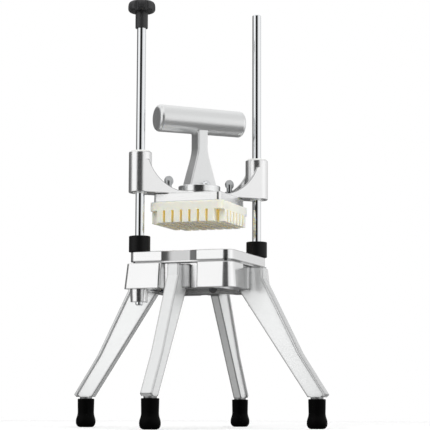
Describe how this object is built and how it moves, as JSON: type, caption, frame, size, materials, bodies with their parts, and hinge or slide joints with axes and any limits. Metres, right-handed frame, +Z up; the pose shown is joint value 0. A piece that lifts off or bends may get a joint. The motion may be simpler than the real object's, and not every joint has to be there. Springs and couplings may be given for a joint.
{
  "type": "vegetable chopper",
  "caption": "Hand press vegetable chopper: a square blade plate on a splayed-leg base, with a sliding head, cross handle and finger pusher on two upright rods.",
  "frame": {"origin": "on the table under the middle of the blade plate", "axes": "+X along the line of the two rods towards the plain rod, +Y to the back, +Z up"},
  "size_m": [0.219, 0.219, 0.474],
  "materials": {
    "cast_aluminium": "polished casting",
    "satin_aluminium": "satin casting",
    "black_rubber": "matt moulded rubber",
    "screw_steel": "bright steel",
    "blade_steel": "ground steel strip",
    "rod_chrome": "mirror",
    "black_plastic": "moulded black plastic",
    "white_nylon": "plain nylon",
    "ivory_plastic": "food-safe moulded plastic"
  },
  "bodies": {
    "stand": {"base_frame": "cast_aluminium", "leg_back_right": "cast_aluminium", "leg_back_left": "cast_aluminium", "leg_front_left": "cast_aluminium", "leg_front_right": "cast_aluminium", "foot_back_right": "black_rubber", "foot_back_left": "black_rubber", "foot_front_left": "black_rubber", "foot_front_right": "black_rubber", "leg_screws": "screw_steel", "blade_plate": "cast_aluminium", "blade_lower_1": "blade_steel", "blade_lower_2": "blade_steel", "blade_lower_3": "blade_steel", "blade_lower_4": "blade_steel", "blade_lower_5": "blade_steel", "blade_lower_6": "blade_steel", "blade_lower_7": "blade_steel", "blade_lower_8": "blade_steel", "blade_upper_1": "blade_steel", "blade_upper_2": "blade_steel", "blade_upper_3": "blade_steel", "blade_upper_4": "blade_steel", "blade_upper_5": "blade_steel", "blade_upper_6": "blade_steel", "blade_upper_7": "blade_steel", "blade_upper_8": "blade_steel", "blade_pins": "blade_steel", "bumper_left": "black_rubber", "bumper_right": "black_rubber", "guide_rod_right": "rod_chrome", "rod_set_screw": "screw_steel"},
    "head": {"head_casting": "cast_aluminium", "upper_bush_left": "white_nylon", "upper_bush_right": "white_nylon", "lower_bush_left": "white_nylon", "lower_bush_right": "white_nylon", "handle": "satin_aluminium", "handle_screws": "screw_steel", "pusher_block": "ivory_plastic"},
    "left_rod": {"guide_rod_left": "rod_chrome"},
    "knob": {"rod_knob": "black_plastic"},
    "left_thumb_screw": {"thumb_screw_left": "screw_steel"},
    "right_thumb_screw": {"thumb_screw_right": "screw_steel"}
  },
  "joints": [
    {"name": "head_slide", "type": "slide", "parent": "stand", "child": "head", "axis": [0, 0, 1], "range_m": [-0.0479, 0.138]},
    {"name": "left_rod_lift", "type": "slide", "parent": "stand", "child": "left_rod", "axis": [0, 0, 1], "range_m": [0, 0.175]},
    {"name": "knob_turn", "type": "hinge", "parent": "left_rod", "child": "knob", "pos_m": [-0.0715, 0, 0.4675], "axis": [0, 0, 1], "continuous": true},
    {"name": "left_thumb_screw_turn", "type": "hinge", "parent": "head", "child": "left_thumb_screw", "pos_m": [-0.0372, 0, 0.27], "axis": [0, 0, 1], "continuous": true},
    {"name": "right_thumb_screw_turn", "type": "hinge", "parent": "head", "child": "right_thumb_screw", "pos_m": [0.0372, 0, 0.27], "axis": [0, 0, 1], "continuous": true}
  ]
}
